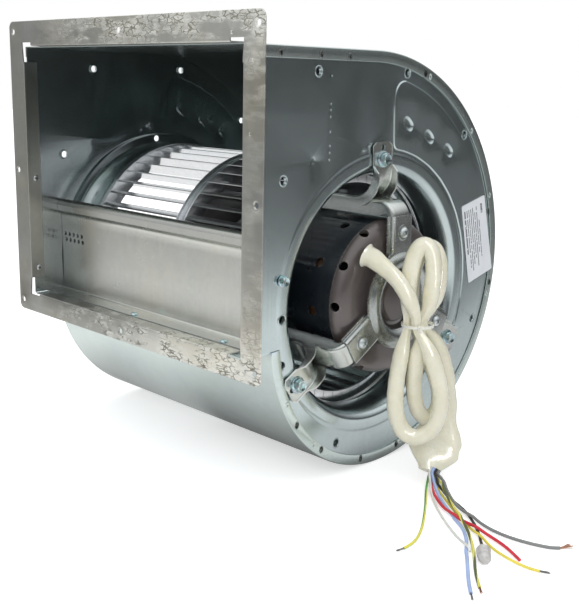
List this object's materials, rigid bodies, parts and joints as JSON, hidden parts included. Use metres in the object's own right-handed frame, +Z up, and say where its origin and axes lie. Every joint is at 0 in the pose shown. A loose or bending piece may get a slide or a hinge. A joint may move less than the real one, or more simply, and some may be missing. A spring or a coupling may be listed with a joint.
{
  "type": "centrifugal blower",
  "caption": "Double-inlet centrifugal blower: galvanised scroll housing with outlet flange, forward-curved wheel and a direct-drive motor hung in one inlet, with coiled lead.",
  "frame": {"origin": "on the outlet flange's front face, on the housing's centre plane, 5 mm above the flange's lower edge; the wheel centre is at (0, 168.7, 45.3) mm", "axes": "+X along the shaft towards the motor side, -Y out of the outlet, +Z up as the blower stands"},
  "size_m": [0.5872, 0.3578, 0.4081],
  "materials": {
    "zinc_sheet": "hot-dip galvanised sheet with a fine spangle, dull",
    "zinc_flange": "galvanised sheet with a coarse cracked spangle",
    "wheel_zinc": "bright galvanised steel",
    "hanger_zinc": "galvanised pressed steel",
    "shell_paint": "gloss blue-black enamel",
    "bell_paint": "semi-matt dark brown-grey enamel",
    "steel": "machined steel",
    "fastener_zinc": "blue-passivated zinc plating",
    "lamination": "stacked laminations",
    "copper": "varnished copper winding",
    "bronze": "sintered bronze",
    "sleeve_cream": "soft cream sleeving, slightly glossy",
    "tie_clear": "milky nylon",
    "label_white": "satin white sticker film",
    "cap_grey": "grey nylon",
    "wire_green": "green and yellow insulation",
    "wire_white": "white insulation",
    "wire_red": "red insulation",
    "wire_blue": "pale blue insulation",
    "wire_yellow": "yellow insulation",
    "wire_black": "black insulation",
    "wire_grey": "grey insulation"
  },
  "bodies": {
    "housing": {"scroll_wrap": "zinc_sheet", "side_plate_right": "zinc_sheet", "side_plate_left": "zinc_sheet", "cutoff_plate": "zinc_sheet", "outlet_flange": "zinc_flange", "rating_plate": "label_white", "motor_shell": "shell_paint", "motor_end_bell_outer": "bell_paint", "motor_end_bell_inner": "bell_paint", "stator_core": "lamination", "stator_winding_outer": "copper", "stator_winding_inner": "copper", "bearing_bush_outer": "bronze", "bearing_bush_inner": "bronze", "motor_spider": "hanger_zinc", "lip_rivet_1": "steel", "lip_rivet_2": "steel", "lip_rivet_3": "steel", "lip_rivet_4": "steel", "shelf_screw_1": "fastener_zinc", "shelf_screw_2": "fastener_zinc", "earth_screw": "fastener_zinc", "motor_strap_top": "hanger_zinc", "motor_arm_top": "hanger_zinc", "arm_bolt_top": "fastener_zinc", "arm_rivet_top": "steel", "spider_screw_top": "fastener_zinc", "motor_strap_front": "hanger_zinc", "motor_arm_front": "hanger_zinc", "arm_bolt_front": "fastener_zinc", "arm_rivet_front": "steel", "spider_screw_front": "fastener_zinc", "motor_strap_back": "hanger_zinc", "motor_arm_back": "hanger_zinc", "arm_bolt_back": "fastener_zinc", "arm_rivet_back": "steel", "spider_screw_back": "fastener_zinc", "cable_sleeve": "sleeve_cream", "cable_tie": "tie_clear", "wire_earth": "wire_green", "wire_white": "wire_white", "wire_red": "wire_red", "wire_blue": "wire_blue", "wire_yellow": "wire_yellow", "wire_black": "wire_black", "wire_grey": "wire_grey", "wire_yellow_short": "wire_yellow", "wire_cap": "cap_grey"},
    "wheel": {"wheel_blades_right": "wheel_zinc", "wheel_blades_left": "wheel_zinc", "wheel_end_ring_right": "wheel_zinc", "wheel_end_ring_left": "wheel_zinc", "wheel_centre_disc": "wheel_zinc", "wheel_hub": "steel", "hub_set_screw": "steel", "motor_shaft": "steel", "rotor_core": "lamination"}
  },
  "joints": [
    {"name": "wheel_spin", "type": "hinge", "parent": "housing", "child": "wheel", "pos_m": [0, 0.1687, 0.0453], "axis": [1, 0, 0], "continuous": true}
  ]
}
